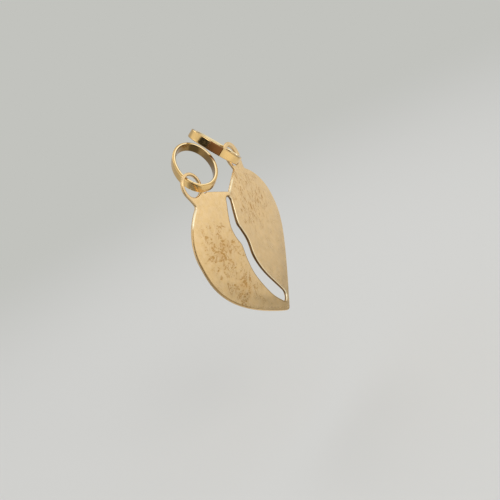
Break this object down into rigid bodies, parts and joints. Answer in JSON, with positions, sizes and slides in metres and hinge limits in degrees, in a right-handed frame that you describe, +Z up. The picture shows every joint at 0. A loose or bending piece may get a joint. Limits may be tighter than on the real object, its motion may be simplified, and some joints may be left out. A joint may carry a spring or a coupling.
{
  "type": "heart pendant",
  "caption": "Heart pendant of thin gold sheet, split down the middle by a wavy saw cut, with a flat eye on each lobe and an oval strip ring through each eye.",
  "frame": {"origin": "on the heart's centre line, midway between the inner tops of the two rings, where a chain or a peg passes through both", "axes": "+X to the right along the line of the two eyes, +Y from the front to the back, +Z up from the tip to the cleft"},
  "size_m": [0.018, 0.0043, 0.0216],
  "materials": {
    "plate_gold": "yellow gold sheet, satin with fine wear scratches",
    "ring_gold": "yellow gold strip, polished"
  },
  "bodies": {
    "heart": {"heart_plate": "plate_gold"},
    "left_ring": {"ring_left": "ring_gold"},
    "right_ring": {"ring_right": "ring_gold"}
  },
  "joints": [
    {"name": "left_ring_swing", "type": "hinge", "parent": "heart", "child": "left_ring", "pos_m": [-0.00481, -0.00101, -0.00357], "axis": [-0.9565, -0.2563, -0.1392], "range_deg": [0, 80]},
    {"name": "right_ring_swing", "type": "hinge", "parent": "heart", "child": "right_ring", "pos_m": [0.00434, -0.00095, -0.00358], "axis": [-0.7912, 0.554, 0.2588], "range_deg": [0, 80]}
  ]
}
